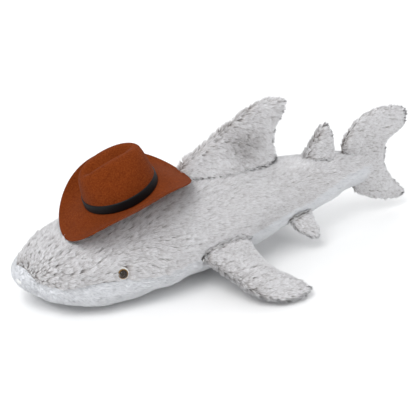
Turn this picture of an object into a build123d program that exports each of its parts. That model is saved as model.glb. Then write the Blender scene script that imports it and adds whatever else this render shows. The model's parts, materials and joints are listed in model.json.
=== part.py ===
from build123d import *
import math
import os

# A plush shark lying on its belly, with a small felt hat on its head.
# While it is modelled the nose is at x = 0, the tail points along +X and the floor is z = 0.
# The shark's left is -Y. At the end everything is centred over the origin.

# body, over the pile of the plush
body_length = 440.0           # nose to the end of the tail stump
body_height = 110.0
body_width = 142.0
cloth_wall = 4.0              # backing and pile of the body cloth
stuffing_gap = 0.3            # between the cloth and the stuffing
joint_gap = 0.5               # between a root that turns and its seat

# dorsal fin
dorsal_start = 200.0          # from the nose
dorsal_chord = 114.0
dorsal_height = 65.0
dorsal_half_thickness = 9.0
dorsal_root_radius = 10.0

# second dorsal fin
second_start = 353.0
second_chord = 42.0
second_height = 36.0
second_half_thickness = 6.0
second_root_radius = 7.0

# pectoral fins
pectoral_start = 193.0
pectoral_chord = 56.0
pectoral_span = 80.0
pectoral_half_thickness = 9.5
pectoral_root_radius = 11.0
pectoral_seat_height = 38.0
pectoral_droop = 23.0         # degrees below level
pectoral_proud = 3.0          # hinge line outside the body's side

# pelvic fins
pelvic_start = 316.0
pelvic_chord = 35.0
pelvic_span = 26.0
pelvic_half_thickness = 5.5
pelvic_root_radius = 6.5
pelvic_seat_height = 38.0
pelvic_droop = 53.0
pelvic_proud = 1.5

top_proud = 2.0               # hinge lines of the two dorsal fins over the back
fin_wall = 3.0

# tail
tail_hinge = 428.0            # from the nose
tail_knuckle_margin = 0.6     # knuckle radius beyond the body's half width there
tail_knuckle_round = 9.0
tail_fin_margin = 2.0         # front of the fin inside the knuckle
caudal_end = 504.0            # from the nose
caudal_bottom = 13.0
caudal_height = 128.0
caudal_half_thickness = 7.0

# eyes
eye_from_nose = 98.0
eye_height = 48.0
eye_radius = 5.2
eye_dome_height = 3.4
eye_disc_thickness = 1.4
eye_proud = 1.2               # dome over the pile
eye_shank_radius = 1.6
eye_shank_length = 9.0
eye_washer_radius = 6.5
eye_washer_thickness = 1.6
eye_fit = 0.2

# hat
hat_from_nose = 122.0
hat_side = -9.0
hat_over_head = 17.5          # middle of the brim over the top of the head
hat_pitch = 16.0              # degrees, front down
felt = 2.2
crown_height = 41.0
crown_half_length = 40.5
crown_half_width = 36.5
crown_crease_depth = 5.0
crown_crease_radius = 20.0
brim_half_length = 73.0
brim_half_width = 63.0
brim_drop = 17.0              # of its front and back ends
brim_flat = 38.5              # half width before the sides curl
brim_curl_radius = 24.0
brim_curl_rise = 16.0
band_width = 9.5
band_thickness = 1.0
band_gap = 0.1

# Body outline: share of the length, then top, bottom and widest height as shares of the body's
# height, and the half width as a share of half the body's width.
body_stations = [
    (0.00, 0.44, 0.31, 0.39, 0.13),
    (0.02, 0.48, 0.20, 0.35, 0.37),
    (0.05, 0.55, 0.11, 0.31, 0.56),
    (0.10, 0.65, 0.04, 0.27, 0.77),
    (0.17, 0.76, -0.02, 0.26, 0.91),
    (0.25, 0.86, -0.02, 0.28, 0.98),
    (0.34, 0.94, -0.01, 0.35, 1.00),
    (0.43, 0.97, 0.02, 0.39, 0.93),
    (0.52, 1.00, 0.04, 0.43, 0.86),
    (0.61, 0.99, 0.10, 0.49, 0.74),
    (0.70, 0.95, 0.18, 0.55, 0.62),
    (0.79, 0.91, 0.26, 0.60, 0.51),
    (0.87, 0.87, 0.34, 0.62, 0.41),
    (0.94, 0.84, 0.41, 0.63, 0.30),
    (1.00, 0.83, 0.44, 0.63, 0.24),
]
width_power = 2.2             # roundness of the body's cross-section
upper_power = 2.1
lower_power = 2.4
section_points = 16

# Seam between the grey back and the white belly: share of the body's length and height.
seam_stations = [
    (0.00, 0.44), (0.03, 0.38), (0.17, 0.37), (0.31, 0.36), (0.46, 0.40),
    (0.60, 0.43), (0.70, 0.51), (0.79, 0.57), (0.90, 0.68), (1.00, 0.70),
]

# Fin outlines: share of the span, front and back as shares of the root chord, and the share
# of the fin's half thickness.
dorsal_slices = [
    (0.00, 0.02, 0.98, 1.00), (0.12, 0.01, 0.98, 1.00), (0.25, 0.03, 0.99, 1.00),
    (0.43, 0.19, 1.00, 0.94), (0.58, 0.33, 1.04, 0.83), (0.74, 0.47, 1.10, 0.72),
    (0.89, 0.61, 1.10, 0.55), (1.00, 0.79, 1.01, 0.33),
]
second_slices = [
    (0.00, 0.03, 0.97, 1.00), (0.45, 0.19, 0.88, 0.95), (0.83, 0.33, 0.74, 0.75),
    (1.00, 0.45, 0.64, 0.50),
]
pectoral_slices = [
    (0.00, 0.02, 0.98, 1.00), (0.17, 0.05, 1.00, 1.00), (0.34, 0.15, 1.04, 1.00),
    (0.50, 0.23, 1.13, 0.95), (0.69, 0.32, 1.33, 0.84), (0.83, 0.45, 1.45, 0.70),
    (0.93, 0.62, 1.47, 0.58), (1.00, 0.90, 1.32, 0.37),
]
pelvic_slices = [
    (0.00, 0.03, 0.97, 1.00), (0.30, 0.10, 1.01, 1.00), (0.65, 0.33, 1.02, 0.85),
    (1.00, 0.65, 0.90, 0.50),
]
# Outline of the upright tail fin: share of its length and of its height. The front edge runs from
# the lower tip to the upper tip, and the back edge runs back down through the notch.
caudal_front_edge = [
    (0.99, 0.04), (0.80, 0.00), (0.57, 0.03), (0.29, 0.13), (0.08, 0.27), (0.00, 0.46),
    (0.00, 0.68), (0.07, 0.84), (0.24, 0.97), (0.49, 1.00), (0.75, 0.97), (0.96, 0.89),
]
caudal_back_edge = [
    (0.96, 0.89), (0.96, 0.79), (0.83, 0.72), (0.67, 0.64), (0.61, 0.49), (0.68, 0.34),
    (0.86, 0.16), (0.99, 0.04),
]
# Crown of the hat: share of its height, then its half length and half width as shares.
crown_slices = [
    (-0.20, 1.03, 1.03), (0.00, 1.00, 1.00), (0.45, 0.95, 0.87), (0.85, 0.89, 0.68),
    (1.00, 0.81, 0.53),
]


def between(stations, share, column):
    """Value of one column at a share of the length, on a smooth curve."""
    last = len(stations) - 1
    i = 0
    while i < last - 1 and stations[i + 1][0] < share:
        i += 1
    ends = [stations[max(i - 1, 0)], stations[i], stations[i + 1], stations[min(i + 2, last)]]
    slopes = [
        (ends[2][column] - ends[0][column]) / (ends[2][0] - ends[0][0]),
        (ends[3][column] - ends[1][column]) / (ends[3][0] - ends[1][0]),
    ]
    step = ends[2][0] - ends[1][0]
    t = (share - ends[1][0]) / step
    return (
        (2 * t**3 - 3 * t**2 + 1) * ends[1][column]
        + (t**3 - 2 * t**2 + t) * step * slopes[0]
        + (3 * t**2 - 2 * t**3) * ends[2][column]
        + (t**3 - t**2) * step * slopes[1]
    )


def body_top(x):
    return between(body_stations, x / body_length, 1) * body_height


def body_bottom(x):
    return between(body_stations, x / body_length, 2) * body_height


def body_half_width(x):
    return between(body_stations, x / body_length, 4) * body_width / 2


def body_side(x, z):
    """Half width of the body at a height."""
    share = x / body_length
    widest = between(body_stations, share, 3) * body_height
    top = body_top(x)
    bottom = body_bottom(x)
    if z > widest:
        rise = ((z - widest) / (top - widest)) ** upper_power
    else:
        rise = ((widest - z) / (widest - bottom)) ** lower_power
    return body_half_width(x) * (1 - rise) ** (1 / width_power)


def signed_power(value, power):
    return math.copysign(abs(value) ** power, value)


def body_section(x, top, bottom, widest, half_width):
    points = []
    for i in range(section_points):
        angle = 2 * math.pi * (i + 0.5) / section_points
        power = upper_power if math.sin(angle) > 0 else lower_power
        reach = top - widest if math.sin(angle) > 0 else widest - bottom
        y = half_width * signed_power(math.cos(angle), 2 / width_power)
        z = widest + reach * signed_power(math.sin(angle), 2 / power)
        points.append((x, y, z))
    return Face(Wire([Spline(*points, periodic=True)]))


def body_solid(inset):
    sections = []
    for share, top, bottom, widest, half_width in body_stations:
        x = share * body_length
        if inset > 0 and share == 0:
            continue                      # the inner shape starts behind the nose
        local = inset * (1 + 1.2 * math.exp(-x / 8)) if inset > 0 else 0
        sections.append(body_section(
            x,
            top * body_height - local,
            bottom * body_height + local,
            widest * body_height,
            half_width * body_width / 2 - local,
        ))
    solid = loft(sections)
    return solid & Pos(body_length / 2, 0, 200 + inset) * Box(2 * body_length, 400, 400)


def fin_solid(slices, chord, span, half_thickness, inset):
    """Upright fin with its root along X from 0 to chord and its tip towards +Z."""
    faces = []
    for share, front, back, thick in slices:
        end_inset = inset if share == slices[-1][0] else 0
        half_chord = (back - front) * chord / 2 - inset * 1.3 - end_inset
        half = half_thickness * thick - inset * 0.9
        if half < 0.6 or half_chord < 1.5:
            half = max(half, 0.6)
            half_chord = max(half_chord, 1.5)
        plane = Plane(origin=((front + back) * chord / 2, 0, share * (span - inset)))
        faces.append(plane * Ellipse(half_chord, half))
    return loft(faces)


def root_solid(chord, radius):
    return Pos(chord / 2, 0, 0) * Rot(0, 90, 0) * Cylinder(radius, chord)


def half_space(side):
    return Pos(0, side * 500, 0) * Box(2000, 1000, 2000)


def one_solid(shape):
    """The largest solid of a shape, without any crumbs left by a cut."""
    return max(shape.solids(), key=lambda solid: solid.volume)


def fin_parts(slices, chord, span, half_thickness, radius):
    """The two cloth panels and the stuffing of a fin, and the seat that it turns in."""
    outer = fin_solid(slices, chord, span, half_thickness, 0) + root_solid(chord, radius)
    inner = fin_solid(slices, chord, span, half_thickness, fin_wall)
    inner += Pos(fin_wall, 0, 0) * root_solid(chord - 2 * fin_wall, radius - fin_wall)
    filling = fin_solid(slices, chord, span, half_thickness, fin_wall + stuffing_gap)
    filling_radius = radius - fin_wall - stuffing_gap
    filling_end = fin_wall + stuffing_gap
    filling += Pos(filling_end, 0, 0) * root_solid(chord - 2 * filling_end, filling_radius)
    half_cloth = one_solid((outer & half_space(1)) - (inner & half_space(1)))
    seat = Pos(-joint_gap, 0, 0) * root_solid(chord + 2 * joint_gap, radius + joint_gap)
    return mirrored(half_cloth), half_cloth, one_solid(filling), seat


def mirrored(shape):
    return mirror(shape, about=Plane.XZ)


nodes = {}
seats = []

# ---- dorsal fins, each on a hinge line along the back
dorsal_line = max(body_top(dorsal_start + dorsal_chord * i / 10) for i in range(11)) + top_proud
dorsal_frame = Plane(origin=(dorsal_start, 0, dorsal_line))
left, right, filling, seat = fin_parts(
    dorsal_slices, dorsal_chord, dorsal_height, dorsal_half_thickness, dorsal_root_radius)
nodes["dorsal_fin_left_panel"] = dorsal_frame * left
nodes["dorsal_fin_right_panel"] = dorsal_frame * right
nodes["dorsal_fin_stuffing"] = dorsal_frame * filling
seats.append(dorsal_frame * seat)

second_front = Vector(second_start, 0, body_top(second_start) + top_proud)
second_end = second_start + second_chord
second_back = Vector(second_end, 0, body_top(second_end) + top_proud)
second_axis = (second_back - second_front).normalized()
second_up = second_axis.cross(Vector(0, 1, 0))
second_frame = Plane(origin=second_front, x_dir=second_axis, z_dir=second_up)
left, right, filling, seat = fin_parts(
    second_slices, second_chord, second_height, second_half_thickness, second_root_radius)
nodes["second_dorsal_fin_left_panel"] = second_frame * left
nodes["second_dorsal_fin_right_panel"] = second_frame * right
nodes["second_dorsal_fin_stuffing"] = second_frame * filling
seats.append(second_frame * seat)


# ---- paired fins, each on a hinge line along the body's side
def side_fin_frame(start, chord, seat_height, proud, droop):
    """Frame of the left fin: X along the root, Z out to the tip."""
    end = start + chord
    front = Vector(start, -body_side(start, seat_height) - proud, seat_height)
    back = Vector(end, -body_side(end, seat_height) - proud, seat_height)
    axis = (back - front).normalized()
    level = Vector(0, 0, 1).cross(axis) * -1
    tip = level * math.cos(math.radians(droop)) - Vector(0, 0, math.sin(math.radians(droop)))
    return Plane(origin=front, x_dir=axis, z_dir=tip)


side_fins = [
    ("pectoral_fin", pectoral_slices, pectoral_chord, pectoral_span, pectoral_half_thickness,
     pectoral_root_radius,
     side_fin_frame(pectoral_start, pectoral_chord, pectoral_seat_height, pectoral_proud,
                    pectoral_droop)),
    ("pelvic_fin", pelvic_slices, pelvic_chord, pelvic_span, pelvic_half_thickness,
     pelvic_root_radius,
     side_fin_frame(pelvic_start, pelvic_chord, pelvic_seat_height, pelvic_proud,
                    pelvic_droop)),
]
for name, slices, chord, span, half_thickness, radius, frame in side_fins:
    first, second, filling, seat = fin_parts(slices, chord, span, half_thickness, radius)
    upper_is_second = frame.y_dir.Z > 0
    upper, lower = (second, first) if upper_is_second else (first, second)
    left_parts = {"upper_panel": upper, "lower_panel": lower, "stuffing": filling}
    for part, solid in left_parts.items():
        nodes[f"left_{name}_{part}"] = frame * solid
        nodes[f"right_{name}_{part}"] = mirrored(frame * solid)
    seats.append(frame * seat)
    seats.append(mirrored(frame * seat))

# ---- tail: a round knuckle at the end of the body, with the upright fin on it
knuckle_radius = body_half_width(tail_hinge) + tail_knuckle_margin
socket = Pos(tail_hinge, 0, 0) * Rot(0, 0, 45) * Cylinder(knuckle_radius + joint_gap, 1000)

# the fin starts inside the knuckle, so that it clears the body as it turns
caudal_front = tail_hinge - math.sqrt(knuckle_radius**2 - caudal_half_thickness**2)
caudal_front += tail_fin_margin


def set_in(points, inset):
    # an edge moved to its right, which is the fin's inside
    moved = []
    last = len(points) - 1
    for i, (x, z) in enumerate(points):
        ahead = points[min(i + 1, last)]
        back = points[max(i - 1, 0)]
        run = (ahead[0] - back[0], ahead[1] - back[1])
        size = math.hypot(*run)
        if 0 < i < last:
            moved.append((x + inset * run[1] / size, z - inset * run[0] / size))
        else:
            moved.append((x - 2 * inset, z + inset * (0.5 - z / caudal_height)))
    return moved


def tail_solid(inset):
    top = body_top(tail_hinge) - inset
    bottom = body_bottom(tail_hinge) + inset
    knuckle = Cylinder(knuckle_radius - inset, top - bottom)
    knuckle = fillet(knuckle.edges().filter_by(GeomType.CIRCLE), tail_knuckle_round - inset)
    knuckle = Pos(tail_hinge, 0, (top + bottom) / 2) * Rot(0, 0, 45) * knuckle
    length = caudal_end - caudal_front
    edges = []
    for shares in (caudal_front_edge, caudal_back_edge):
        points = [
            (caudal_front + along * length, caudal_bottom + up * caudal_height)
            for along, up in shares
        ]
        edges.append(Spline(*set_in(points, inset)))
    blade = extrude(Plane.XZ * Face(Wire(edges)), caudal_half_thickness - inset, both=True)
    return knuckle + blade


tail_cloth = tail_solid(0) - tail_solid(fin_wall)
nodes["tail_fin_left_panel"] = one_solid(tail_cloth & half_space(-1))
nodes["tail_fin_right_panel"] = mirrored(nodes["tail_fin_left_panel"])
nodes["tail_fin_stuffing"] = one_solid(tail_solid(fin_wall + stuffing_gap))

# ---- body cloth and stuffing, with seats for the fins and the tail
ahead = Pos(tail_hinge - 500 - joint_gap, 0, 0) * Box(1000, 1000, 1000)
body_zone = ahead - socket
cloth = (body_solid(0) & body_zone) - body_solid(cloth_wall)
stuffing = body_solid(cloth_wall + stuffing_gap) & body_zone

seam_line = [(share * body_length, height * body_height) for share, height in seam_stations]
seam_curve = Spline(*[(x, 0, z) for x, z in seam_line])
below_edges = Polyline(
    (seam_line[-1][0], 0, seam_line[-1][1]), (body_length + 50, 0, seam_line[-1][1]),
    (body_length + 50, 0, -50), (-50, 0, -50), (-50, 0, seam_line[0][1]),
    (0, 0, seam_line[0][1]))
below_face = Face(Wire([seam_curve] + below_edges.edges()))
below_seam = extrude(below_face, amount=200, dir=(0, 1, 0), both=True)
left_back = (cloth - below_seam) & half_space(-1)
belly = cloth & below_seam
for seat in seats:
    left_back -= seat
    belly -= seat
    stuffing -= seat

# ---- eyes, each held by a washer behind the cloth
eye_side = body_side(eye_from_nose, eye_height)
eye_step = 2.0
eye_along = Vector(
    2 * eye_step,
    body_side(eye_from_nose - eye_step, eye_height) - body_side(eye_from_nose + eye_step, eye_height),
    0)
eye_upward = Vector(
    0,
    body_side(eye_from_nose, eye_height - eye_step) - body_side(eye_from_nose, eye_height + eye_step),
    2 * eye_step)
eye_out = eye_upward.cross(eye_along) * -1
if eye_out.Y > 0:
    eye_out = eye_out * -1
eye_frame = Plane(
    origin=(eye_from_nose, -eye_side, eye_height), x_dir=eye_along, z_dir=eye_out.normalized())
dome_base = eye_proud - eye_dome_height
dome_ball_radius = (eye_radius**2 + eye_dome_height**2) / (2 * eye_dome_height)
dome = Pos(0, 0, eye_proud - dome_ball_radius) * Sphere(dome_ball_radius)
dome = dome & Pos(0, 0, dome_base + 50) * Box(100, 100, 100)
disc_top = dome_base - 0.05
disc = Pos(0, 0, disc_top - eye_disc_thickness / 2) * Cylinder(eye_radius, eye_disc_thickness)
shank_top = disc_top - eye_disc_thickness
disc += Pos(0, 0, shank_top - eye_shank_length / 2) * Cylinder(eye_shank_radius, eye_shank_length)
washer_top = -cloth_wall - stuffing_gap
washer = Cylinder(eye_washer_radius, eye_washer_thickness)
washer -= Cylinder(eye_shank_radius + eye_fit, 2 * eye_washer_thickness)
washer = Pos(0, 0, washer_top - eye_washer_thickness / 2) * washer
eye_hole = Pos(0, 0, 5) * Cylinder(
    eye_radius + eye_fit, 5 - shank_top + eye_fit, align=(Align.CENTER, Align.CENTER, Align.MAX))
shank_hole = Pos(0, 0, 5) * Cylinder(
    eye_shank_radius + eye_fit, 5 - shank_top + eye_shank_length + 1,
    align=(Align.CENTER, Align.CENTER, Align.MAX))
washer_hole = Pos(0, 0, washer_top + stuffing_gap) * Cylinder(
    eye_washer_radius + stuffing_gap, eye_washer_thickness + 2 * stuffing_gap,
    align=(Align.CENTER, Align.CENTER, Align.MAX))
for name, solid in (("eye_dome", dome), ("eye_disc", disc), ("eye_washer", washer)):
    nodes[f"left_{name}"] = eye_frame * solid
    nodes[f"right_{name}"] = mirrored(eye_frame * solid)
for hole in (eye_hole, shank_hole, washer_hole):
    placed = eye_frame * hole
    left_back -= placed
    belly = belly - placed - mirrored(placed)
    stuffing = stuffing - placed - mirrored(placed)

nodes["back_left_panel"] = one_solid(left_back)
nodes["back_right_panel"] = mirrored(nodes["back_left_panel"])
nodes["belly_panel"] = one_solid(belly)
nodes["body_stuffing"] = one_solid(stuffing)

# ---- hat, modelled upright with its front towards +X
saddle_radius = brim_half_length**2 / (2 * brim_drop)


def saddle(extra):
    """Round bar along Y whose top is the brim's underside, raised by extra."""
    return Pos(0, 0, -saddle_radius) * Rot(90, 0, 0) * Cylinder(saddle_radius + extra, 400)


def crown_solid(offset, top):
    faces = []
    for share, length_share, width_share in crown_slices:
        plane = Plane(origin=(0, 0, share * top))
        faces.append(plane * Ellipse(
            crown_half_length * length_share + offset, crown_half_width * width_share + offset))
    return loft(faces)


curl = Circle(brim_curl_radius + felt) - Circle(brim_curl_radius)
curl = Pos(brim_flat, felt + brim_curl_radius) * curl
curl &= Pos(brim_flat + 50, (felt + brim_curl_rise) / 2) * Rectangle(100, felt + brim_curl_rise)
profile = Pos(0, felt / 2) * Rectangle(2 * brim_flat, felt)
profile = Plane.YZ * (profile + curl + mirror(curl, about=Plane.YZ))
saddle_axis = Axis((0, 0, -saddle_radius), (0, 1, 0))
sweep_half = math.degrees(math.asin(brim_half_length / saddle_radius)) + 4
slab = revolve(profile.rotate(saddle_axis, -sweep_half), saddle_axis, 2 * sweep_half)
outline = extrude(Ellipse(brim_half_length, brim_half_width), 100, both=True)
crown = crown_solid(0, crown_height) - saddle(felt / 2)
crease_height = crown_height - crown_crease_depth + crown_crease_radius
crown -= Pos(0, 0, crease_height) * Rot(0, 90, 0) * Cylinder(crown_crease_radius, 200)
hollow = crown_solid(-felt, crown_height - crown_crease_depth - felt)
hollow_depth = crown_slices[0][0] * crown_height
hollow += Pos(0, 0, hollow_depth * 1.5) * extrude(
    Ellipse(crown_half_length - felt, crown_half_width - felt), -hollow_depth)
hat_felt = (slab & outline) + crown - hollow
band = crown_solid(band_gap + band_thickness, crown_height) - crown_solid(band_gap, crown_height)
band &= saddle(felt + band_gap + band_width) - saddle(felt + band_gap)

pitch = math.radians(hat_pitch)
hat_frame = Plane(
    origin=(hat_from_nose, hat_side, body_top(hat_from_nose) + hat_over_head),
    x_dir=(-math.cos(pitch), 0, -math.sin(pitch)), z_dir=(-math.sin(pitch), 0, math.cos(pitch)))
nodes["hat_felt"] = hat_frame * one_solid(hat_felt)
nodes["hat_band"] = hat_frame * one_solid(band)

# ---- centre over the origin and write one file for each piece
whole = Compound(children=[Compound(solid.solids()) for solid in nodes.values()])
box = whole.bounding_box()
centre = Pos(-(box.min.X + box.max.X) / 2, 0, -box.min.Z)
os.makedirs("parts", exist_ok=True)
for name, solid in nodes.items():
    export_step(centre * solid, f"parts/{name}.step")
print("shift", centre.position, "box", box.min, box.max)
print("dorsal hinge height", dorsal_line, "tail hinge", tail_hinge, "knuckle", knuckle_radius)
for name, slices, chord, span, half_thickness, radius, frame in side_fins:
    print(name, "hinge from", frame.origin, "along", frame.x_dir, "tip", frame.z_dir)
print("second dorsal hinge from", second_front, "along", second_axis)
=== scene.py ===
import json
import math
import bpy
import numpy as np
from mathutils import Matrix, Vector, kdtree


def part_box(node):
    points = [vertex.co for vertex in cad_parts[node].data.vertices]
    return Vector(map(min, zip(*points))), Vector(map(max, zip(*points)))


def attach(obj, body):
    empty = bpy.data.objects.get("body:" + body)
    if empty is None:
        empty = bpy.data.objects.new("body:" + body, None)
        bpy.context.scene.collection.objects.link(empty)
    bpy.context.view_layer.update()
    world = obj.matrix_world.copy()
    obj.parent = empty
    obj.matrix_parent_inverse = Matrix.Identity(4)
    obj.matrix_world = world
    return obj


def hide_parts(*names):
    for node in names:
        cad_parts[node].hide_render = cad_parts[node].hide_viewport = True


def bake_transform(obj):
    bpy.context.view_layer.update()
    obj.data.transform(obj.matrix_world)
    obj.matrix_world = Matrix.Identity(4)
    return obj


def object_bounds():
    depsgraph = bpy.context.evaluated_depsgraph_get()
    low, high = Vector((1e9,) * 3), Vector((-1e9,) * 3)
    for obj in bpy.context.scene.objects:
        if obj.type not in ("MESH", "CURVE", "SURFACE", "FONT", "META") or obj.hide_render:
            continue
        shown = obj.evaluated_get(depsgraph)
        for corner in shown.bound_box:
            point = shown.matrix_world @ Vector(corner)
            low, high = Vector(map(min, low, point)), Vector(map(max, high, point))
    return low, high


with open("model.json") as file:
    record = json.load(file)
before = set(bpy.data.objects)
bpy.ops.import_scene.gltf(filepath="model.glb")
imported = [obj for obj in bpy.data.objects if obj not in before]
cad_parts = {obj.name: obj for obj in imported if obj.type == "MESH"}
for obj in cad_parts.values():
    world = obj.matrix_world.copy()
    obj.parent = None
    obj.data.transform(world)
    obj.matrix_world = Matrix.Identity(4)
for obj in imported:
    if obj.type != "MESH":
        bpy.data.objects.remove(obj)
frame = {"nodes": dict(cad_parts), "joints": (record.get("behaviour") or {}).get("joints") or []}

cadBox = [list(corner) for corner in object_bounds()]
joints = {joint["name"]: joint for joint in frame["joints"]}


# small tools for shapes

def smoothCurve(places, values, at):
    # a smooth curve through the values, without their own slopes being written down
    places, values, at = (np.asarray(x, float) for x in (places, values, at))
    slopes = np.gradient(values, places)
    i = np.clip(np.searchsorted(places, at) - 1, 0, len(places) - 2)
    step = places[i + 1] - places[i]
    t = np.clip((at - places[i]) / step, 0, 1)
    return ((2 * t**3 - 3 * t**2 + 1) * values[i] + (t**3 - 2 * t**2 + t) * step * slopes[i]
            + (3 * t**2 - 2 * t**3) * values[i + 1] + (t**3 - t**2) * step * slopes[i + 1])


def unit(vectors):
    return vectors / np.maximum(np.linalg.norm(vectors, axis=-1, keepdims=True), 1e-9)


def outward(grid, closed, centre):
    # normals of a grid of points, turned away from the middle of each row
    around = np.concatenate([grid[:, -2:-1], grid, grid[:, 1:2]], 1) if closed else grid
    across = np.gradient(around, axis=1)
    across = across[:, 1:-1] if closed else across
    normals = unit(np.cross(np.gradient(grid, axis=0), across))
    flip = np.sign(np.sum(normals * (grid - centre), axis=2, keepdims=True))
    normals = normals * (1 if np.median(flip) >= 0 else -1)
    for end, beside in ((0, 1), (-1, -2)):        # a row that shrinks to a point
        if np.ptp(grid[end], axis=0).max() < 0.0001:
            ahead = (grid[end] - grid[beside]).mean(0) + (grid[end] - centre[beside]).mean(0)
            normals[end] = unit(unit(ahead) + normals[beside].mean(0))
    return normals


def smoothNoise(points, scale, seed):
    # soft bumps between -1 and 1, the same every run
    rng = np.random.default_rng(seed)
    total = np.zeros(points.shape[:-1])
    for wave in range(7):
        direction = unit(rng.normal(size=3)) * scale * rng.uniform(0.6, 1.7)
        total += np.sin(points @ direction + rng.uniform(0, 6.3))
    return total / 7 * 1.6


def buildMesh(name, points, faces, material, uvs=None, marks=None):
    # faces is one row of corners for each face
    mesh = bpy.data.meshes.new(name)
    mesh.vertices.add(len(points))
    mesh.vertices.foreach_set("co", np.asarray(points, np.float32).ravel())
    mesh.loops.add(faces.size)
    mesh.loops.foreach_set("vertex_index", faces.ravel().astype(np.int32))
    mesh.polygons.add(len(faces))
    starts = np.arange(len(faces)) * faces.shape[1]
    mesh.polygons.foreach_set("loop_start", starts.astype(np.int32))
    mesh.update(calc_edges=True)
    if uvs is not None:
        layer = mesh.uv_layers.new(name="OFBake")
        layer.uv.foreach_set("vector", np.asarray(uvs, np.float32).ravel())
    for key, values in (marks or {}).items():
        attribute = mesh.attributes.new(key, "FLOAT", "POINT")
        attribute.data.foreach_set("value", np.asarray(values, np.float32).ravel())
    mesh.polygons.foreach_set("use_smooth", np.ones(len(faces), bool))
    mesh.validate()
    mesh.materials.append(material)
    piece = bpy.data.objects.new(name, mesh)
    bpy.context.scene.collection.objects.link(piece)
    return piece


def gridMesh(name, grid, material):
    # one quad for each cell of a grid of points
    rows, columns = grid.shape[:2]
    index = np.arange(rows * columns).reshape(rows, columns)
    quads = np.stack([index[:-1, :-1], index[1:, :-1], index[1:, 1:], index[:-1, 1:]], -1)
    u, v = np.meshgrid(np.linspace(0.01, 0.99, columns), np.linspace(0.01, 0.99, rows))
    places = np.stack([u, v], -1).reshape(-1, 2)
    faces = quads.reshape(-1, 4)
    return buildMesh(name, grid.reshape(-1, 3), faces, material, places[faces.ravel()])


def puffed(grid, closed, pinned, most):
    # the cloth is blown up a little by its filling, held where it is sewn, as a simulation
    rows, columns = grid.shape[:2]
    index = np.arange(rows * columns).reshape(rows, columns)
    if closed:
        index[:, -1] = index[:, 0]
    faces = np.stack([index[:-1, :-1], index[1:, :-1], index[1:, 1:], index[:-1, 1:]], -1)
    mesh = bpy.data.meshes.new("panel")
    mesh.from_pydata(grid.reshape(-1, 3).tolist(), [], faces.reshape(-1, 4).tolist())
    panel = bpy.data.objects.new("panel", mesh)
    bpy.context.scene.collection.objects.link(panel)
    panel.vertex_groups.new(name="sewn").add(index[pinned].ravel().tolist(), 1.0, "REPLACE")
    cloth = panel.modifiers.new("cloth", "CLOTH")
    cloth.settings.quality = 4
    cloth.settings.vertex_group_mass = "sewn"
    cloth.settings.use_pressure = True
    cloth.settings.uniform_pressure_force = filled["pressure"]
    cloth.settings.effector_weights.gravity = 0
    cloth.point_cache.frame_end = filled["frames"]
    for step in range(1, filled["frames"] + 1):
        bpy.context.scene.frame_set(step)
    result = panel.evaluated_get(bpy.context.evaluated_depsgraph_get()).to_mesh()
    moved = np.empty(rows * columns * 3, np.float32)
    result.vertices.foreach_get("co", moved)
    bpy.context.scene.frame_set(1)
    bpy.data.objects.remove(panel)
    bpy.data.meshes.remove(mesh)
    shift = moved.reshape(rows, columns, 3) - grid
    if closed:
        shift[:, -1] = shift[:, 0]
    size = np.linalg.norm(shift, axis=2, keepdims=True)
    shift = shift * np.minimum(1, most / np.maximum(size, 1e-9))
    return grid + np.round(shift, 5)


filled = {"pressure": 4.0, "frames": 14, "bodySwell": 0.0022, "finSwell": 0.0016}
underCloth = {"knitBump": 0.0006, "fibreBump": 0.002}       # depth of the relief, in metres


# materials

class Value:
    # a shader socket that can be used in sums
    def __init__(self, finish, socket):
        self.finish, self.socket = finish, socket

    def sum(self, operation, first, second):
        return self.finish.node("ShaderNodeMath", {"operation": operation}, {0: first, 1: second})

    def __add__(self, other): return self.sum("ADD", self, other)
    def __radd__(self, other): return self.sum("ADD", other, self)
    def __sub__(self, other): return self.sum("SUBTRACT", self, other)
    def __rsub__(self, other): return self.sum("SUBTRACT", other, self)
    def __mul__(self, other): return self.sum("MULTIPLY", self, other)
    def __rmul__(self, other): return self.sum("MULTIPLY", other, self)


class Finish:
    # one material and the nodes in it
    def __init__(self, name):
        self.material = bpy.data.materials.new(name)
        self.material.use_nodes = True
        self.tree = self.material.node_tree
        self.tree.nodes.clear()

    def node(self, kind, settings=None, inputs=None, out=0):
        made = self.tree.nodes.new(kind)
        for key, value in (settings or {}).items():
            if key == "stops":
                ramp = made.color_ramp.elements
                while len(ramp) < len(value):
                    ramp.new(0.5)
                for element, (place, colour) in zip(ramp, value):
                    element.position, element.color = place, colour
            else:
                setattr(made, key, value)
        for key, value in (inputs or {}).items():
            if isinstance(value, Value):
                self.tree.links.new(value.socket, made.inputs[key])
            else:
                made.inputs[key].default_value = value
        return Value(self, made.outputs[out])

    def mix(self, factor, first, second):
        settings = {"data_type": "RGBA"}
        return self.node("ShaderNodeMix", settings, {0: factor, 6: first, 7: second}, 2)

    def noise(self, scale, detail=3.0, roughness=0.5):
        place = self.node("ShaderNodeTexCoord", out=3)
        inputs = {"Vector": place, "Scale": scale, "Detail": detail, "Roughness": roughness}
        return self.node("ShaderNodeTexNoise", {}, inputs)

    def mark(self, name):
        return self.node("ShaderNodeAttribute", {"attribute_name": name}, out=2)

    def bump(self, height, strength, distance):
        return self.node("ShaderNodeBump", {}, {
            "Height": height, "Strength": strength, "Distance": distance})

    def done(self, inputs):
        shader = self.node("ShaderNodeBsdfPrincipled", {}, inputs)
        end = self.tree.nodes.new("ShaderNodeOutputMaterial")
        self.tree.links.new(shader.socket, end.inputs["Surface"])
        return self.material


# the root and middle colours are darkened with painted shade deep in the pile; the tips carry the
# plush's own colour
plushColours = {
    "greyRootShade": (0.115, 0.095, 0.085, 1), "greyMiddle": (0.50, 0.475, 0.47, 1),
    "greyTip": (0.93, 0.925, 0.94, 1), "whiteRootShade": (0.70, 0.72, 0.75, 1),
    "whiteTip": (0.90, 0.91, 0.93, 1),
}


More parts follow.
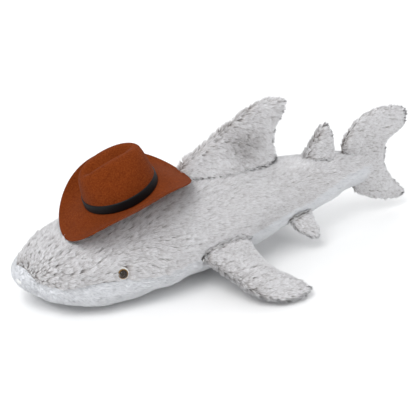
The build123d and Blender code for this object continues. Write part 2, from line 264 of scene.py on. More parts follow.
def pileFinish(name, root, middle, tip):
    # painted shade: dark at the root and light at the tip, as shade falls deep in the pile, with
    # patches that differ a little
    finish = Finish(name)
    along = finish.mark("along")
    tone = finish.mark("tone")
    patch = finish.noise(28.0, 3.0, 0.6)
    # the tone mark also carries painted shade where the pile is brushed up
    height = along + (tone - 0.5) * 0.40 + (patch - 0.5) * 0.35
    ramp = finish.node("ShaderNodeValToRGB", {"stops": [
        (0.0, root), (0.35, middle), (0.95, tip)]}, {0: height})
    return finish.done({
        "Base Color": ramp, "Roughness": 0.85, "Specular IOR Level": 0.15,
        "Sheen Weight": 0.2, "Sheen Roughness": 0.5})


def clothFinish(name, colour, dark):
    # the knitted backing that the pile stands on
    finish = Finish(name)
    knit = finish.noise(900.0, 2.0)
    patch = finish.noise(45.0, 4.0)
    base = finish.mix(patch, dark, colour)
    return finish.done({
        "Base Color": base, "Roughness": 0.95, "Specular IOR Level": 0.1,
        "Normal": finish.bump(knit, 0.5, underCloth["knitBump"])})


def fillingFinish():
    finish = Finish("loosePolyesterFibre")
    tangle = finish.noise(220.0, 6.0, 0.7)
    base = finish.mix(tangle, (0.80, 0.80, 0.78, 1), (0.95, 0.95, 0.94, 1))
    return finish.done({
        "Base Color": base, "Roughness": 1.0,
        "Normal": finish.bump(tangle, 0.8, underCloth["fibreBump"])})


greyPile = pileFinish("greyPlushPile", plushColours["greyRootShade"], plushColours["greyMiddle"],
                      plushColours["greyTip"])
whitePile = pileFinish("whitePlushPile", plushColours["whiteRootShade"], (0.80, 0.81, 0.84, 1),
                       plushColours["whiteTip"])
# painted shade: the grey backing is coloured far darker than the pile's tips, standing in for the
# shade deep under the pile; its patches are random tone
greyShadedCloth = clothFinish("greyBackingClothShade", (0.36, 0.335, 0.325, 1), (0.22, 0.20, 0.19, 1))
whiteCloth = clothFinish("whiteBackingCloth", (0.80, 0.81, 0.84, 1), (0.60, 0.61, 0.64, 1))
filling = fillingFinish()


# pile: tapered strands planted on a surface, leaning the way the plush is brushed

planting = {"rootSunk": 0.0006, "rootLowest": 0.0003, "tipLowest": 0.0005}


def plantPile(name, grid, normals, lie, look, material, seed, keep=None):
    rng = np.random.default_rng(seed)
    diagonals = grid[1:, 1:] - grid[:-1, :-1], grid[:-1, 1:] - grid[1:, :-1]
    area = np.linalg.norm(np.cross(*diagonals), axis=2)
    pick = rng.choice(area.size, look["strands"], p=(area / area.sum()).ravel())
    i, j = np.divmod(pick, area.shape[1])
    u, v = rng.random((2, look["strands"], 1))

    def at(field):
        return ((1 - u) * (1 - v) * field[i, j] + u * (1 - v) * field[i + 1, j]
                + u * v * field[i + 1, j + 1] + (1 - u) * v * field[i, j + 1])

    root, normal, brush = at(grid), unit(at(normals)), at(lie)
    length, pull = (at(np.broadcast_to(look[key], grid.shape[:2])[..., None])
                    for key in ("length", "pull"))
    if keep is not None:
        kept, length = keep(root, length, rng)
        root, normal, brush, length, pull = (
            x[kept] for x in (root, normal, brush, length, pull))
    count = len(root)
    ruffledShade = np.zeros((count, 1))
    brush = unit(brush - normal * np.sum(brush * normal, 1, keepdims=True))
    side = np.cross(normal, brush)
    length = length * rng.uniform(0.75, 1.15, (count, 1))
    swirl = look["swirl"] * smoothNoise(root, 55.0, seed + 1)[:, None]
    brush = unit(brush + side * (swirl + rng.normal(0, look["stray"], (count, 1))))
    side = np.cross(normal, brush)
    rise = look["rise"] * rng.uniform(0.7, 1.3, (count, 1))
    if "ruffle" in look:        # a place where the pile is brushed up on end
        centre, radius = look["ruffle"]
        away = np.linalg.norm(root - centre, axis=1, keepdims=True) / radius
        away = away + 0.25 * smoothNoise(root, 160.0, seed + 2)[:, None]
        ruffled = np.exp(-away ** 4)
        # painted shade: the strands of the brushed-up patch are marked darker
        ruffledShade = ruffled
        rise = rise + (rng.uniform(0.75, 1.0, (count, 1)) - rise) * ruffled
        brush = unit(brush + side * ruffled * rng.normal(0, 1.2, (count, 1)))
        side = np.cross(normal, brush)
    tip = brush * length * np.sqrt(np.maximum(1 - rise**2, 0.05)) + normal * length * rise
    # strands lean towards the nearest clump, which opens soft gaps between clumps
    chosen = rng.choice(count, max(count // look["perClump"], 1), replace=False)
    tree = kdtree.KDTree(len(chosen))
    for k, centre in enumerate(root[chosen]):
        tree.insert(centre, k)
    tree.balance()
    near = chosen[[tree.find(place)[1] for place in root]]
    pull = pull * rng.uniform(0.5, 1.2, (count, 1))
    tip = (root + tip) * (1 - pull) + (root[near] + tip[near]) * pull
    root = root - normal * planting["rootSunk"]
    tip[:, 2] = np.maximum(tip[:, 2], planting["tipLowest"])
    root[:, 2] = np.maximum(root[:, 2], planting["rootLowest"])
    half = look["width"] / 2 * rng.uniform(0.7, 1.3, (count, 1))
    along = unit(tip - root)
    side = unit(np.cross(normal, along))
    over = np.cross(along, side)
    turn = rng.uniform(0, 2 * math.pi, (count, 1))
    rings = [root + (side * np.cos(turn + angle) + over * np.sin(turn + angle)) * half
             for angle in (0, 2 * math.pi / 3, 4 * math.pi / 3)]
    points = np.stack(rings + [tip], 1)
    first = np.arange(count)[:, None] * 4
    faces = np.stack([first + np.array([k, (k + 1) % 3, 3]) for k in range(3)], 1).reshape(-1, 3)
    # each strand has its own small cell in the bake map
    across = math.ceil(math.sqrt(count))
    corner = np.stack(np.divmod(np.arange(count), across), 1)[:, None, None] / across
    cell = (np.array([(0.05, 0.05), (0.95, 0.05), (0.5, 0.95)]) / across)[None, None]
    uvs = np.broadcast_to(corner + cell, (count, 3, 3, 2)).reshape(-1, 2)
    # the tone mark holds random tone per strand and per clump, less painted shade in the
    # brushed-up patch
    marks = {
        "along": np.tile([0.0, 0.0, 0.0, 1.0], count),
        "tone": np.repeat(rng.random(count) * 0.6 + rng.random(count)[near] * 0.4
                          - ruffledShade[:, 0] * 0.55, 4),
    }
    piece = buildMesh(name, points.reshape(-1, 3), faces, material, uvs, marks)
    # light falls on the pile as on the surface under it, and only a little on each strand
    soft = unit(over + normal * 0.8)[:, None] + unit(points - points.mean(1, keepdims=True)) * 0.35
    piece.data.normals_split_custom_set_from_vertices(unit(soft).reshape(-1, 3))
    print(name, count, "strands")
    return piece


# the body: a grey back in two panels, a white belly, and the filling

body = {
    # share of the length, then top, bottom, widest height and half width as shares
    "shape": np.array([
        (0.000, 0.460, 0.290, 0.380, 0.130), (0.018, 0.515, 0.190, 0.350, 0.370),
        (0.050, 0.595, 0.100, 0.310, 0.580), (0.100, 0.675, 0.035, 0.270, 0.780),
        (0.170, 0.760, -0.02, 0.260, 0.910), (0.250, 0.860, -0.02, 0.280, 0.980),
        (0.340, 0.940, -0.01, 0.350, 1.000), (0.430, 0.970, 0.020, 0.390, 0.930),
        (0.520, 1.000, 0.040, 0.430, 0.860), (0.610, 0.990, 0.100, 0.490, 0.740),
        (0.700, 0.950, 0.180, 0.550, 0.620), (0.790, 0.910, 0.260, 0.600, 0.510),
        (0.870, 0.870, 0.340, 0.620, 0.410), (0.940, 0.845, 0.410, 0.630, 0.290),
        (1.000, 0.830, 0.430, 0.630, 0.190), (1.060, 0.800, 0.470, 0.635, 0.060),
    ]),
    "seam": np.array([
        (0.00, 0.44), (0.03, 0.38), (0.17, 0.37), (0.31, 0.36), (0.46, 0.40),
        (0.60, 0.43), (0.70, 0.51), (0.79, 0.57), (0.90, 0.68), (1.06, 0.70)]),
    "noseRound": 0.018, "noseFill": 26, "seamBlend": 9, "snoutBlend": 14, "snout": 0.030,
    "snoutTip": 0.010, "rows": 150, "columns": 44, "hingeShare": 428 / 440,
    "widthPower": 2.2, "upperPower": 2.1, "lowerPower": 2.4,
    "pile": (0.0072, 0.0040), "fillGap": 0.004, "bumps": 0.0012, "clothLowest": 0.0010,
    "fillLowest": 0.004, "fillEnd": 0.93, "bumpScale": 130.0, "noseRows": 1.35,
    "noseShort": 0.22, "noseGrow": 8,           # the pile is short at the nose and grows behind it
}
tailJoint = joints["tail_wag"]
noseX = cadBox[0][0]
bodyLength = (tailJoint["pos_m"][0] - noseX) / body["hingeShare"]
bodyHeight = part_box("back_left_panel")[1].z
bodyHalfWidth = -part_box("back_left_panel")[0].y


def bodyColumns(share):
    shape = body["shape"]
    limits = (bodyHeight, bodyHeight, bodyHeight, bodyHalfWidth)
    top, bottom, widest, half = (
        smoothCurve(shape[:, 0], shape[:, k + 1], share) * limits[k] for k in range(4))
    # the nose closes with a round end
    blunt = np.sqrt(np.clip(share / body["noseRound"], 0, 1))
    edge = [np.interp(body["noseRound"], shape[:, 0], shape[:, k + 1]) * limits[k]
            for k in range(4)]
    front = share < body["noseRound"]
    top = np.where(front, edge[2] + (edge[0] - edge[2]) * blunt, top)
    bottom = np.where(front, edge[2] - (edge[2] - edge[1]) * blunt, bottom)
    widest = np.where(front, edge[2], widest)
    half = np.where(front, edge[3] * blunt, half)
    return top, bottom, widest, half


def seamAngle(share):
    top, bottom, widest, half = bodyColumns(share)
    seam = smoothCurve(body["seam"][:, 0], body["seam"][:, 1], share) * bodyHeight
    above = np.clip((seam - widest) / np.maximum(top - widest, 1e-6), 0, 0.98)
    below = np.clip((widest - seam) / np.maximum(widest - bottom, 1e-6), 0, 0.98)
    angle = np.where(seam > widest, np.arcsin(above ** (body["upperPower"] / 2)),
                     -np.arcsin(below ** (body["lowerPower"] / 2)))
    # the white cloth comes up round the tip of the snout
    snout = np.clip((body["snout"] - share) / (body["snout"] - body["snoutTip"]), 0, 1)
    return angle + (math.pi / 2 - angle) * snout ** 1.5


def bodyGrid(startAngle, endAngle, first=1e-5):
    # rows from the nose to the tail, columns from one angle to the other
    shares = first + np.linspace(0, 1, body["rows"]) ** body["noseRows"] * (
        body["shape"][-1, 0] - first)
    top, bottom, widest, half = (x[:, None] for x in bodyColumns(shares))
    turn = np.linspace(0, 1, body["columns"])[None]
    angle = startAngle(shares)[:, None] * (1 - turn) + endAngle(shares)[:, None] * turn
    cos, sin = np.cos(angle), np.sin(angle)
    y = half * np.sign(cos) * np.abs(cos) ** (2 / body["widthPower"])
    up = np.abs(np.maximum(sin, 0)) ** (2 / body["upperPower"]) * (top - widest)
    down = np.abs(np.minimum(sin, 0)) ** (2 / body["lowerPower"]) * (widest - bottom)
    x = np.broadcast_to(noseX + shares[:, None] * bodyLength, y.shape)
    grid = np.stack([x, y, widest + up - down], -1)
    middle = np.stack([x, 0 * y, np.broadcast_to(widest, y.shape)], -1)
    return grid, middle, np.broadcast_to(shares[:, None], y.shape)


def bodyPanel(name, startAngle, endAngle, pile, cloth, material, look, node, seed, keep):
    first = 1e-5 if name == "belly" else body["snoutTip"] * 1.03
    grid, middle, shares = bodyGrid(startAngle, endAngle, first)
    normals = outward(grid, False, middle)
    # the belly's cloth comes up to meet the back's along the seam
    turn = np.linspace(0, 1, grid.shape[1])[None, :, None]
    edge = np.clip(1 - np.minimum(turn, 1 - turn) * body["seamBlend"], 0, 1)
    edge = np.maximum(edge, np.clip(1 - shares[..., None] * body["snoutBlend"], 0, 1))
    own, back = ((p[0] + (p[1] - p[0]) * np.clip(shares, 0, 1))[..., None]
                 for p in (pile, body["pile"]))
    depth = own + (back - own) * edge
    depth = depth * np.clip(shares * body["noseFill"] + 0.25, 0, 1)[..., None]
    bumps = smoothNoise(grid, body["bumpScale"], 5)[..., None] * body["bumps"]
    skin = grid - normals * depth + normals * bumps
    sewn = np.zeros(grid.shape[:2], bool)
    sewn[:, [0, -1]] = sewn[[0, -1]] = True
    skin = puffed(skin, False, sewn, filled["bodySwell"])
    skin[..., 2] = np.maximum(skin[..., 2], body["clothLowest"])
    clothPiece = gridMesh(name + "Cloth", skin, cloth)
    lie = np.zeros_like(grid) + np.array([1.0, 0, -0.12])
    start, end = look["length"]
    settings = dict(look, length=(start + (end - start) * np.clip(shares * 1.2, 0, 1))
                    * np.clip(body["noseShort"] + shares * body["noseGrow"], 0, 1), pull=np.interp(
                        shares, (0, 0.25, 0.6, 1), np.array((1, 1, 0.6, 0.4)) * look["pull"]))
    pilePiece = plantPile(name + "Pile", skin, normals, lie, settings, material, seed, keep)
    for piece in (clothPiece, pilePiece):
        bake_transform(piece)
        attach(piece, "torso")
    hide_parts(node)


hingeX, hingeZ = tailJoint["pos_m"][0], tailJoint["pos_m"][2]
bendAhead, bendBehind = 0.024, 0.016            # how far the cloth bends round the tail's hinge
tailBlend = ((hingeX - bendAhead, 0, hingeZ), (hingeX + bendBehind, 0, hingeZ))

leftEye = [(a + b) / 2 for a, b in zip(*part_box("left_eye_dome"))]
eyeRadius = (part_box("left_eye_disc")[1].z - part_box("left_eye_disc")[0].z) / 2


# bare and clear are shares of the eye's radius, and the others but ahead are in metres
aroundEye = {"bare": 0.96, "clear": 0.82, "ahead": -0.3, "ragged": 0.0012, "shortest": 0.0018}


def clearOfEyes(root, length, rng):
    # no pile grows over an eye, and the pile that would lie across it is trimmed short
    eye = np.array([leftEye[0], -leftEye[1], leftEye[2]])
    toEye = eye - root * np.array([1, np.sign(root[0, 1]), 1])
    away = np.linalg.norm(toEye, axis=1)
    ragged = rng.uniform(0, aroundEye["ragged"], len(root))
    ahead = toEye[:, 0] > aroundEye["ahead"] * away
    room = np.maximum(away - eyeRadius * aroundEye["clear"] + ragged, aroundEye["shortest"])
    trimmed = np.where(ahead, np.minimum(length[:, 0], room), length[:, 0])
    return away > eyeRadius * aroundEye["bare"] + ragged * 0.4, trimmed[:, None]


backLook = {
    "strands": 62000, "length": (0.0135, 0.0085), "width": 0.0013, "rise": 0.44, "stray": 0.24,
    "swirl": 0.5, "perClump": 20, "pull": 0.56,
}
bellyLook = {
    "strands": 60000, "length": (0.0062, 0.0058), "width": 0.0014, "rise": 0.38, "stray": 0.30,
    "swirl": 0.3, "perClump": 12, "pull": 0.2,
}


def quarter(shares):
    return np.full(shares.shape, math.pi / 2)


def leftSeam(shares):
    return math.pi - seamAngle(shares)


def leftSeamUnder(shares):
    return -math.pi - seamAngle(shares)


bodyPanel("leftBack", leftSeam, quarter, body["pile"], greyShadedCloth, greyPile, backLook,
          "back_left_panel", 11, clearOfEyes)
bodyPanel("rightBack", quarter, seamAngle, body["pile"], greyShadedCloth, greyPile, backLook,
          "back_right_panel", 12, clearOfEyes)
bodyPanel("belly", seamAngle, leftSeamUnder, (0.0038, 0.0034), whiteCloth, whitePile, bellyLook,
          "belly_panel", 13, None)

fillGrid, fillMiddle, fillShares = bodyGrid(
    lambda shares: np.full(shares.shape, math.pi),
    lambda shares: np.full(shares.shape, -math.pi))
inner = (body["pile"][0] + body["fillGap"]) * np.clip(fillShares * 30 + 0.2, 0, 1)[..., None]
fillNormals = outward(fillGrid, True, fillMiddle)
fillSkin = fillGrid - fillNormals * inner + smoothNoise(fillGrid, 160.0, 8)[..., None] * 0.001
fillSkin[..., 2] = np.maximum(fillSkin[..., 2], body["fillLowest"])
fillSkin = fillSkin[fillShares[:, 0] < body["fillEnd"]]
bodyFilling = gridMesh("bodyFilling", fillSkin, filling)
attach(bodyFilling, "torso")
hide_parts("body_stuffing")
print("body done")


# fins, each a ring surface that swells from its root to its tip

fins = {
    "dorsalFin": {
        "body": "dorsal_fin", "joint": "dorsal_fin_flop", "nodes": "dorsal_fin",
        "parts": ("left_panel", "right_panel"), "ahead": -0.013, "seed": 31,
        # height over the hinge, front, back and half thickness, in millimetres
        "rings": [(-9, 2, 124, 17), (0, 1, 126, 15.5), (6, 4, 125, 13.5), (16, 12, 123, 11.5),
                  (28, 34, 123, 10.5), (38, 50, 126, 9.5), (48, 66, 134, 8.5),
                  (57, 81, 137, 7.4), (62.5, 91, 136, 6.0), (65.5, 100, 130, 4.2),
                  (66.5, 110, 121, 2.0)],
        "strands": 36000, "length": 0.0095, "pile": 0.0035, "brush": (0.8, -0.35),
        "ruffle": ((0.078, -0.009, 0.022), 0.023),
    },
    "secondDorsalFin": {
        "body": "second_dorsal_fin", "joint": "second_dorsal_fin_flop",
        "nodes": "second_dorsal_fin", "parts": ("left_panel", "right_panel"),
        "ahead": -0.003, "seed": 32,
        "rings": [(-8, 0, 48, 11), (0, 2, 45, 9.5), (8, 5, 42, 8), (17, 9, 40, 7),
                  (27, 14, 35, 5.8), (33, 18, 30, 4.2), (36.5, 22, 27, 1.2)],
        "strands": 8000, "length": 0.0068, "pile": 0.0028, "brush": (0.9, 0.5),
    },
    "leftPectoralFin": {
        "body": "left_pectoral_fin", "joint": "left_pectoral_fin_flap",
        "nodes": "left_pectoral_fin", "parts": ("upper_panel", "lower_panel"),
        "ahead": 0.0, "droop": 23.0, "seed": 33,
        "rings": [(-10, -4, 62, 13), (0, -1, 59, 12.5), (10, 2, 58.5, 12), (22, 6, 59, 11.5),
                  (34, 11, 61, 11.5), (46, 15, 67, 11), (56, 20, 75, 10), (66, 26, 82, 8.5),
                  (74, 36, 84, 6.5), (79, 46, 80, 4.6), (81.5, 58, 71, 1.5)],
        "strands": 24000, "length": 0.0078, "pile": 0.0035, "brush": (0.75, 0.65),
    },
    "leftPelvicFin": {
        "body": "left_pelvic_fin", "joint": "left_pelvic_fin_flap", "nodes": "left_pelvic_fin",
        "parts": ("upper_panel", "lower_panel"), "ahead": 0.0, "droop": 53.0, "seed": 34,
        "rings": [(-8, -1, 36, 8.5), (0, 0, 35.5, 7.5), (8, 3, 36, 6.8), (15, 8, 36.5, 6.2),
                  (21, 14, 35, 5), (25, 20, 32, 3.4), (27, 24, 28, 1.0)],
        "strands": 7000, "length": 0.0062, "pile": 0.0028, "brush": (0.75, 0.65),
    },
    "tailFin": {
        "body": "tail", "joint": "tail_wag", "nodes": "tail_fin",
        "parts": ("left_panel", "right_panel"), "upright": True, "seed": 35,
        "aheadOfHinge": 0.027, "overFloor": 0.013,
        "rings": [(0, 84, 98, 1.5), (3, 68, 102, 4.4), (8, 55, 103.5, 6.8), (17, 36, 96, 8.4),
                  (30, 20, 84, 9), (43, 15, 74, 9.8), (56, 12, 67, 10.6), (66, 8, 66, 10.8),
                  (79, 3, 69, 10.4), (87, 1, 76, 9.8), (91, 2, 84, 9.6), (95, 3.5, 91, 9.4),
                  (102, 7, 93.5, 9), (109, 12, 94.5, 8.4), (115, 18, 94, 7.6),
                  (120, 24, 91, 6.6), (124, 31, 85, 5.4), (127, 40, 75, 3.8),
                  (128.5, 49, 61, 1)],
        "strands": 38000, "length": 0.0072, "pile": 0.0035, "brush": (0.95, 0.1),
    },
}
finLook = {
    "width": 0.0014, "rise": 0.48, "stray": 0.26, "swirl": 0.5, "perClump": 20, "pull": 0.45,
}
fillingGap, finLowest, finFillLowest = 0.0022, 0.0012, 0.003
finBumps = {"scale": 170.0, "height": 0.0007}


def finAxes(fin):
    # origin at the front of the root, along the root, and out to the tip
    joint = joints[fin["joint"]]
    along = Vector(joint["axis"])
    if fin.get("upright"):
        start = Vector((joint["pos_m"][0] - fin["aheadOfHinge"], 0, fin["overFloor"]))
        return start, Vector((1, 0, 0)), Vector((0, 0, 1))
    if along.x < 0:
        along = -along
    start = Vector(joint["pos_m"])
    start.x += fin["ahead"]
    if "droop" in fin:
        level = along.cross(Vector((0, 0, 1)))
        droop = math.radians(fin["droop"])
        return start, along, level * math.cos(droop) - Vector((0, 0, math.sin(droop)))
    return start, along, along.cross(Vector((0, 1, 0)))


def finGrid(fin, inset, rows=46, columns=49):
    rings = np.array(fin["rings"], float) / 1000
    heights = rings[0, 0] + (rings[-1, 0] - rings[0, 0]) * np.sin(
        np.linspace(0 if not fin.get("upright") else -math.pi / 2, math.pi / 2, rows))
    if fin.get("upright"):
        heights = rings[0, 0] + (heights - heights[0]) / 2
    front, back, half = (
        smoothCurve(rings[:, 0], rings[:, k], heights)[:, None] for k in (1, 2, 3))
    angle = np.linspace(0, 2 * math.pi, columns)[None]
    reach = np.abs(np.cos(angle)) ** 0.92 * np.sign(np.cos(angle))
    x = (front + back) / 2 + (back - front) / 2 * reach
    y = half * np.sin(angle)
    start, along, out = (np.array(v) for v in finAxes(fin))
    thick = np.cross(out, along)
    grid = (start + x[..., None] * along + y[..., None] * thick
            + np.broadcast_to(heights[:, None, None], x.shape + (1,)) * out)
    middle = (start + ((front + back) / 2)[..., None] * along
              + heights[:, None, None] * out) + 0 * grid
    # a last point at each end closes the fin
    grid = np.concatenate([middle[:1] - out * 0.0003, grid, middle[-1:] + out * 0.0003])
    middle = np.concatenate([middle[:1], middle, middle[-1:]])
    normals = outward(grid, True, middle)
    return grid - normals * inset, normals, along, out


def addFin(name, fin, mirrored):
    grid, normals, along, out = finGrid(fin, fin["pile"])
    bumps = smoothNoise(grid, finBumps["scale"], fin["seed"])[..., None] * finBumps["height"]
    grid = grid + normals * bumps
    sewn = np.zeros(grid.shape[:2], bool)
    sewn[:, [0, grid.shape[1] // 2, -1]] = sewn[[0, 1, -2, -1]] = True
    grid = puffed(grid, True, sewn, filled["finSwell"])
    if mirrored:
        flip = np.array([1, -1, 1])
        grid, normals, along, out = grid * flip, normals * flip, along * flip, out * flip
        grid, normals = grid[:, ::-1], normals[:, ::-1]
    grid[..., 2] = np.maximum(grid[..., 2], finLowest)
    cloth = gridMesh(name + "Cloth", grid, greyShadedCloth)
    lie = np.zeros_like(grid) + along * fin["brush"][0] + out * fin["brush"][1]
    look = dict(finLook, strands=fin["strands"], length=fin["length"])
    if "ruffle" in fin:
        place, radius = fin["ruffle"]
        look["ruffle"] = np.array(finAxes(fin)[0]) + np.array(place), radius
    pile = plantPile(name + "Pile", grid, normals, lie, look, greyPile,
                     fin["seed"] + (50 if mirrored else 0))
    inside = finGrid(fin, fin["pile"] + fillingGap)[0]
    if mirrored:
        inside = inside[:, ::-1] * flip
    inside[..., 2] = np.maximum(inside[..., 2], finFillLowest)
    stuffing = gridMesh(name + "Filling", inside[1:-1], filling)
    node = fin["nodes"].replace("left_", "right_") if mirrored else fin["nodes"]
    bodyName = fin["body"].replace("left_", "right_") if mirrored else fin["body"]
    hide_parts(f"{node}_{fin['parts'][0]}")
    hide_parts(f"{node}_{fin['parts'][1]}")
    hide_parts(f"{node}_stuffing")
    if not fin.get("upright"):
        for piece in (cloth, pile, stuffing):
            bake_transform(piece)
    for piece in (cloth, pile, stuffing):
        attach(piece, bodyName)


for finName, finFacts in fins.items():
    addFin(finName, finFacts, False)
    if finName.startswith("left"):
        addFin(finName.replace("left", "right"), finFacts, True)
print("fins done")


# eyes: the clear dome, the black disc with its gold ring, and the washer inside

def eyeFinishes():
    for side, sign in (("left", -1), ("right", 1)):
        low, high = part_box(f"{side}_eye_dome")
        centre = [(a + b) / 2 for a, b in zip(low, high)]
        disc = Finish(side + "EyeBlackAndGold")
        place = disc.node("ShaderNodeTexCoord", out=3)
        away = disc.node("ShaderNodeVectorMath", {"operation": "DISTANCE"}, {
            0: place, 1: (centre[0], centre[1] - sign * 0.001, centre[2])}, 1)
        ring = disc.node("ShaderNodeValToRGB", {"stops": [
            (0.00, (0.002, 0.002, 0.002, 1)), (0.70, (0.002, 0.002, 0.002, 1)),
            (0.77, (0.36, 0.17, 0.025, 1)), (0.90, (0.62, 0.36, 0.07, 1)),
            (0.97, (0.004, 0.003, 0.002, 1))]}, {0: away * (1 / (eyeRadius * 1.06))})
        streaks = disc.noise(1500.0, 2.0)
        goldMix = disc.mix(streaks * 0.5, ring, (0.10, 0.05, 0.015, 1))
        frame["nodes"][f"{side}_eye_disc"].data.materials.clear()
        frame["nodes"][f"{side}_eye_disc"].data.materials.append(disc.done({
            "Base Color": goldMix, "Roughness": 0.45, "Specular IOR Level": 0.2}))
    dome = Finish("clearEyeDome")
    clear = dome.done({
        "Base Color": (0.97, 0.97, 0.97, 1), "Roughness": 0.02, "IOR": 1.25,
        "Transmission Weight": 1.0, "Specular IOR Level": 0.25})
    washer = Finish("paleWasherPlastic")
    grain = washer.noise(700.0, 2.0)
    plain = washer.done({
        "Base Color": washer.mix(grain, (0.78, 0.78, 0.76, 1), (0.88, 0.88, 0.86, 1)),
        "Roughness": 0.5})
    for side in ("left", "right"):
        for node, finish in (("eye_dome", clear), ("eye_washer", plain)):
            frame["nodes"][f"{side}_{node}"].data.materials.clear()
            frame["nodes"][f"{side}_{node}"].data.materials.append(finish)


eyeFinishes()
print("eyes done")


# hat, built upright with its front towards +X and then set on the head

hat = {
    "crownLong": 40.4, "crownWide": 37.0, "brimLong": 73.2, "brimWide": 63.4, "curl": 15.6,
    "frontDrop": 16.0, "backDrop": 21.0, "felt": 2.0, "crease": 7.5, "creaseWide": 7.0,
    "sideDent": 2.6, "pitch": 17.6, "nudge": (-0.0053, -0.0020, -0.0062), "columns": 144,
    # the crease runs from creaseBack to creaseFront and fades over the two eases, above creaseFoot
    "creaseFoot": 20, "creaseDeepens": 20, "creaseBack": -34, "backEase": 18, "creaseFront": 37,
    "frontEase": 14, "dentForward": 14, "dentLong": 15, "dentUp": 31, "dentTall": 8,
    "domed": 40, "ripple": 0.35,
    # height, then half length and half width of the crown as shares of its base
    "crown": [(0, 1.0, 1.0), (4, 0.995, 0.985), (10, 0.985, 0.965), (18, 0.965, 0.90),
              (26, 0.94, 0.81), (33, 0.905, 0.70), (38, 0.865, 0.60), (41.5, 0.80, 0.50),
              (43.3, 0.69, 0.41), (44.2, 0.52, 0.29), (44.6, 0.28, 0.16), (44.8, 0.004, 0.003)],
    "band": {"height": 9.6, "thick": 0.9, "low": 0.5},
}


def crownRing(height, longShare, wideShare, angle, inset):
    long = np.maximum(hat["crownLong"] * longShare - inset, 0.05)
    wide = np.maximum(hat["crownWide"] * wideShare - inset, 0.05)
    x, y = long * np.cos(angle), wide * np.sin(angle)
    upper = np.clip((height - hat["creaseFoot"]) / hat["creaseDeepens"], 0, 1) ** 1.5
    window = (np.clip((x - hat["creaseBack"]) / hat["backEase"], 0, 1)
              * np.clip((hat["creaseFront"] - x) / hat["frontEase"], 0, 1))
    valley = hat["crease"] * np.exp(-(y / hat["creaseWide"]) ** 2) * upper * window
    dome = 2.0 * np.cos(x / hat["domed"] * 1.2) - 1.2 - 0.03 * x * upper
    rounded = np.clip(height / hat["domed"], 0, 1)
    z = height - valley + dome * rounded
    # soft dents pinched into both sides towards the front
    pinch = (np.exp(-((height - hat["dentUp"]) / hat["dentTall"]) ** 2)
             * np.exp(-((x - hat["dentForward"]) / hat["dentLong"]) ** 2))
    y = y - np.sign(y) * hat["sideDent"] * pinch
    return np.stack([x, y, z - inset * rounded], -1)


def brimRing(out, angle, under):
    cos, sin = np.cos(angle), np.sin(angle)
    long = hat["crownLong"] + (hat["brimLong"] - hat["crownLong"]) * out
    wide = hat["crownWide"] + (hat["brimWide"] - hat["crownWide"]) * out ** 0.9
    drop = np.where(cos > 0, hat["frontDrop"], hat["backDrop"])
    z = hat["curl"] * np.abs(sin) ** 1.6 * out ** 2.1 - drop * cos ** 2 * out ** 1.25
    ripple = hat["ripple"] * np.sin(3 * angle + 1.0) * out
    return np.stack([long * cos, wide * sin, z + ripple - under], -1)


def hatPlace(points):
    # from the upright hat, in millimetres, to the shark's head
    low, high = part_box("hat_felt")
    pitch = math.radians(hat["pitch"])
    front = np.array([-math.cos(pitch), 0, -math.sin(pitch)])
    up = np.array([-math.sin(pitch), 0, math.cos(pitch)])
    across = np.cross(up, front)
    base = (low + high) / 2 + Vector(hat["nudge"])
    points = points / 1000
    return (np.array(base) + points[..., 0:1] * front + points[..., 1:2] * across
            + points[..., 2:3] * up)


def feltFinish():
    finish = Finish("rustBrownFelt")
    fibre = finish.noise(650.0, 5.0, 0.75)
    cloud = finish.noise(75.0, 5.0, 0.7)
    base = finish.mix(cloud, (0.085, 0.0135, 0.0020, 1), (0.165, 0.0290, 0.0042, 1))
    base = finish.mix((fibre - 0.38) * 1.8, base, (0.30, 0.070, 0.014, 1))
    height = fibre + cloud * 0.6
    return finish.done({
        "Base Color": base, "Roughness": 0.95, "Specular IOR Level": 0.05, "Sheen Weight": 0.03,
        "Sheen Roughness": 0.5, "Normal": finish.bump(height, 0.6, 0.0009)})


def satinFinish():
    finish = Finish("blackSatinRibbon")
    weave = finish.noise(2600.0, 1.0)
    cloud = finish.noise(90.0, 2.0)
    base = finish.mix(cloud, (0.0025, 0.0025, 0.003, 1), (0.006, 0.006, 0.007, 1))
    return finish.done({
        "Base Color": base, "Roughness": 0.45 + cloud * 0.12, "Specular IOR Level": 0.2,
        "Normal": finish.bump(weave, 0.15, 0.0003)})


def makeHat():
    angle = np.linspace(0, 2 * math.pi, hat["columns"] + 1)
    crown = np.array(hat["crown"])
    spread = np.linspace(0, 1, 46) ** 0.8
    steps = np.interp(spread, np.linspace(0, 1, len(crown)), np.arange(len(crown)))
    heights, longs, wides = (
        np.interp(steps, np.arange(len(crown)), crown[:, k]) for k in range(3))
    rings = []
    for k in reversed(range(len(heights))):        # outside of the crown, from its top down
        rings.append(crownRing(heights[k], longs[k], wides[k], angle, 0))
    for out in np.linspace(0.03, 0.985, 26):       # top of the brim
        rings.append(brimRing(out, angle, 0))
    for turn in np.linspace(0.25, 0.75, 4):        # round edge of the brim
        out = 0.985 + 0.03 * math.sin(turn * math.pi)
        rings.append(brimRing(out, angle, hat["felt"] * turn))
    for out in np.linspace(0.985, 0.03, 22):       # underside of the brim
        rings.append(brimRing(out, angle, hat["felt"]))
    for k in range(len(heights)):                  # inside of the crown, up to its top
        rings.append(crownRing(heights[k], longs[k], wides[k], angle, hat["felt"]))
    grid = hatPlace(np.array(rings))
    felt = gridMesh("feltHat", grid, feltFinish())
    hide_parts("hat_felt")
    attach(felt, "hat")
    band = hat["band"]
    outline = []
    for lift, proud in ((0, 0.1), (0.02, 0.7), (0.12, 1), (0.5, 1.06), (0.88, 1), (0.98, 0.7),
                        (1, 0.1)):
        height = band["low"] + lift * band["height"] + 0 * angle
        long, wide = (np.interp(height, crown[:, 0], crown[:, k]) for k in (1, 2))
        outline.append(crownRing(height, long, wide, angle, -band["thick"] * proud))
    ribbon = gridMesh("satinBand", hatPlace(np.array(outline)), satinFinish())
    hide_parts("hat_band")
    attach(ribbon, "hat")


makeHat()
print("hat done")


# floor, light and camera

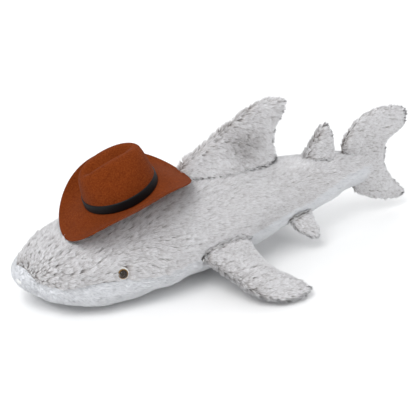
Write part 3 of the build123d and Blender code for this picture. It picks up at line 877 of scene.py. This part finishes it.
view = {
    "turn": -27.8, "rise": 27.4, "distance": 1.127, "lens": 87.5, "aim": (-0.0222, 0, -0.0266),
}


def makeStage():
    finish = Finish("paleFloor")
    grain = finish.noise(6.0, 2.0)
    shade = finish.mix(grain, (0.95, 0.95, 0.95, 1), (0.965, 0.965, 0.965, 1))
    paper = finish.done({"Base Color": shade, "Roughness": 0.9, "Specular IOR Level": 0.1})
    across = np.linspace(-3, 3, 3)
    x, y = np.meshgrid(across, across)
    floor = gridMesh("floor", np.stack([x, y, 0 * x - 0.0002], -1), paper)
    world = bpy.data.worlds.new("studio")
    world.use_nodes = True
    world.node_tree.nodes["Background"].inputs[0].default_value = (0.97, 0.985, 1, 1)
    world.node_tree.nodes["Background"].inputs[1].default_value = 0.68
    bpy.context.scene.world = world
    for name, place, size, power in (
        ("key", (-0.9, -0.5, 1.5), 1.0, 16.0),
        ("fill", (0.4, -1.6, 0.9), 1.6, 6.0),
        ("back", (0.7, 1.3, 1.2), 1.6, 12.0),
    ):
        light = bpy.data.lights.new(name, "AREA")
        light.size, light.energy = size, power
        lamp = bpy.data.objects.new(name, light)
        bpy.context.scene.collection.objects.link(lamp)
        lamp.location = place
        towards = Vector((0, 0, 0.05)) - Vector(place)
        lamp.rotation_euler = towards.to_track_quat("-Z", "Y").to_euler()


def makeCamera():
    low, high = (Vector(corner) for corner in cadBox)
    turn, rise = math.radians(view["turn"]), math.radians(view["rise"])
    level = math.cos(rise)
    back = Vector((math.sin(turn) * level, -math.cos(turn) * level, math.sin(rise)))
    aim = (low + high) / 2 + Vector(view["aim"])
    camera = bpy.data.objects.new("camera", bpy.data.cameras.new("camera"))
    bpy.context.scene.collection.objects.link(camera)
    camera.data.lens = view["lens"]
    camera.data.clip_start = 0.01
    camera.location = aim + back * view["distance"]
    camera.rotation_euler = back.to_track_quat("Z", "Y").to_euler()
    bpy.context.scene.camera = camera


makeStage()
makeCamera()
bpy.context.scene.view_settings.view_transform = "Standard"
print("stage done")
